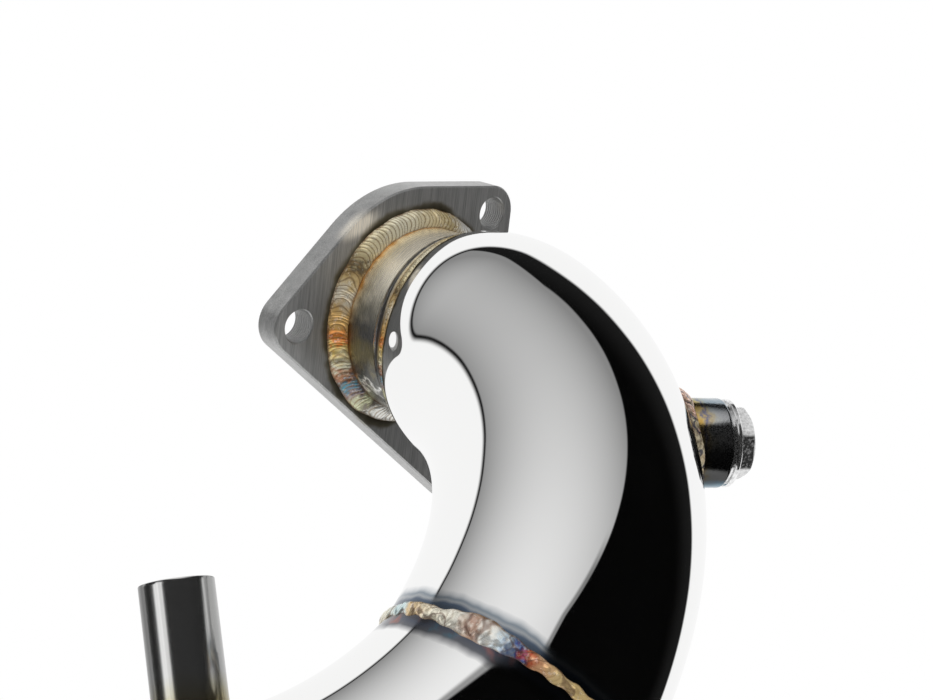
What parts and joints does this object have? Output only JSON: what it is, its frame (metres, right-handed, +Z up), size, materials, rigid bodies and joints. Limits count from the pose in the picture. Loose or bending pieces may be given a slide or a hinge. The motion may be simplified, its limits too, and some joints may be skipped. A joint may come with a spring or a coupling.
{
  "type": "turbo downpipe",
  "caption": "Welded stainless exhaust downpipe: turbo flange, two mirror-polished mitred elbows, sensor bung with plug and a small side pipe.",
  "frame": {"origin": "centre of the gas bore on the turbo flange's mating face", "axes": "+Y out of the mating face towards the turbo, +Z up along the flange's straight right edge, +X to the right seen from the pipe side; the pipe leaves along -Y"},
  "size_m": [0.2585, 0.1789, 0.2026],
  "materials": {
    "flange": "raw plate, fine straight brushing, straw heat tint near the weld",
    "weld": "rippled bead with straw, gold and blue heat tint",
    "collar": "straw to gold heat tint, satin",
    "pipe": "mirror polished stainless",
    "fittings": "turned steel, fine lathe rings, heat tint at the foot",
    "plug": "bright zinc plated steel",
    "branch": "satin tube with fine lengthways lines"
  },
  "bodies": {
    "root": {"turbo_flange": "flange", "flange_weld": "weld", "inlet_collar": "collar", "collar_seam": "weld", "upper_elbow": "pipe", "sensor_bung": "fittings", "bung_weld": "weld", "plug_washer": "plug", "sensor_plug": "plug", "joint_weld": "weld", "lower_elbow": "pipe", "branch_tube": "branch", "branch_weld": "weld"}
  },
  "joints": []
}
